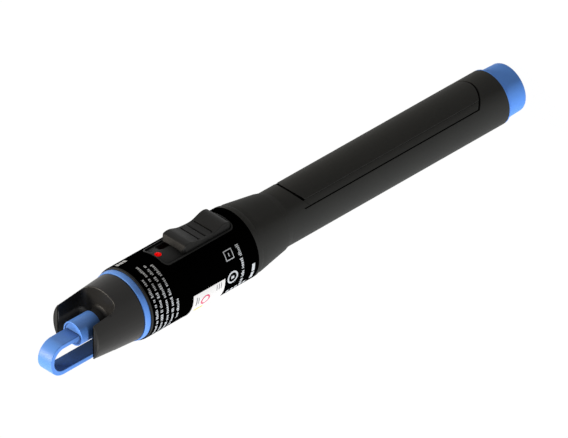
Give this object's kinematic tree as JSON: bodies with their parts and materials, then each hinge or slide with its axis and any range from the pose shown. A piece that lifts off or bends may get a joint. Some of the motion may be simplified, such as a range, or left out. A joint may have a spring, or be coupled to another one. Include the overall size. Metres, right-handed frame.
{
  "type": "visual fault locator",
  "caption": "Pen-shaped visual fault locator: round grip with pocket clip and screw tail cap, wider labelled head with slide switch, slotted bumper and capped ferrule port.",
  "frame": {"origin": "middle of the tail cap's flat end face, on the pen's axis", "axes": "+Z along the pen towards the laser port, -Y towards the switch and the pocket clip, X completes a right-handed frame"},
  "size_m": [0.0241, 0.0259, 0.1967],
  "materials": {
    "black_moulding": "moulded black ABS, fine satin texture",
    "label_film": "gloss black polyester label",
    "paper": "white coated paper sticker",
    "blue_rubber": "satin blue thermoplastic elastomer",
    "blue_plastic": "satin blue moulded plastic",
    "grey_moulding": "moulded dark grey plastic",
    "bezel_moulding": "moulded charcoal plastic",
    "black_rubber": "nitrile rubber",
    "port_steel": "turned nickel-plated metal",
    "zirconia": "polished ceramic",
    "brass": "turned brass",
    "steel": "plated steel",
    "lens_glass": "clear optical glass",
    "switch_plastic": "black nylon",
    "red_lens": "clear red acrylic",
    "led_body": "white epoxy chip",
    "board_green": "green solder mask on glass fibre board",
    "chip_black": "black epoxy package",
    "cell_can": "printed metal can"
  },
  "bodies": {
    "body": {"body_tube": "black_moulding", "label_wrap": "label_film", "blank_sticker": "paper", "collar_ring": "blue_rubber", "strap": "blue_rubber", "front_bumper": "grey_moulding", "front_gasket": "black_rubber", "port_adapter": "port_steel", "split_sleeve": "zirconia", "laser_module": "brass", "laser_diode": "steel", "focusing_lens": "lens_glass", "lens_retainer": "brass", "switch_bezel": "bezel_moulding", "slide_switch": "steel", "indicator_lamp": "red_lens", "indicator_led": "led_body", "circuit_board": "board_green", "driver_chip": "chip_black", "capacitor": "steel", "power_trimmer": "switch_plastic", "contact_bulkhead": "switch_plastic", "positive_contact": "steel", "negative_strip": "steel", "cell_rear": "cell_can", "cell_front": "cell_can"},
    "slider": {"slider_button": "bezel_moulding", "switch_lever": "switch_plastic"},
    "dust_cap": {"dust_cap": "blue_rubber"},
    "tail_contact": {"spring_seat": "steel", "battery_spring": "steel"},
    "tail_cap": {"tail_cap": "blue_plastic", "tail_seal": "black_rubber"},
    "clip": {"pocket_clip": "black_moulding"}
  },
  "joints": [
    {"name": "switch_slide", "type": "slide", "parent": "body", "child": "slider", "axis": [0, 0, 1], "range_m": [0, 0.0044]},
    {"name": "dust_cap_pull", "type": "slide", "parent": "body", "child": "dust_cap", "axis": [0, 0, 1], "range_m": [0, 0.016], "deforming": ["strap"]},
    {"name": "tail_cap_backoff", "type": "slide", "parent": "body", "child": "tail_contact", "axis": [0, 0, -1], "range_m": [0, 0.004], "deforming": ["battery_spring"]},
    {"name": "tail_cap_screw", "type": "hinge", "parent": "tail_contact", "child": "tail_cap", "pos_m": [0, 0, 0.0084], "axis": [0, 0, -1], "range_deg": [0, 1440]},
    {"name": "clip_flex", "type": "hinge", "parent": "body", "child": "clip", "pos_m": [0, -0.0093, 0.01565], "axis": [1, 0, 0], "range_deg": [0, 3], "stiffness_Nm_per_rad": 6, "springref_deg": -0.29}
  ],
  "couplings": [
    {"joint": "tail_cap_screw", "follows": "tail_cap_backoff", "rad_per_m": 6283.2}
  ]
}
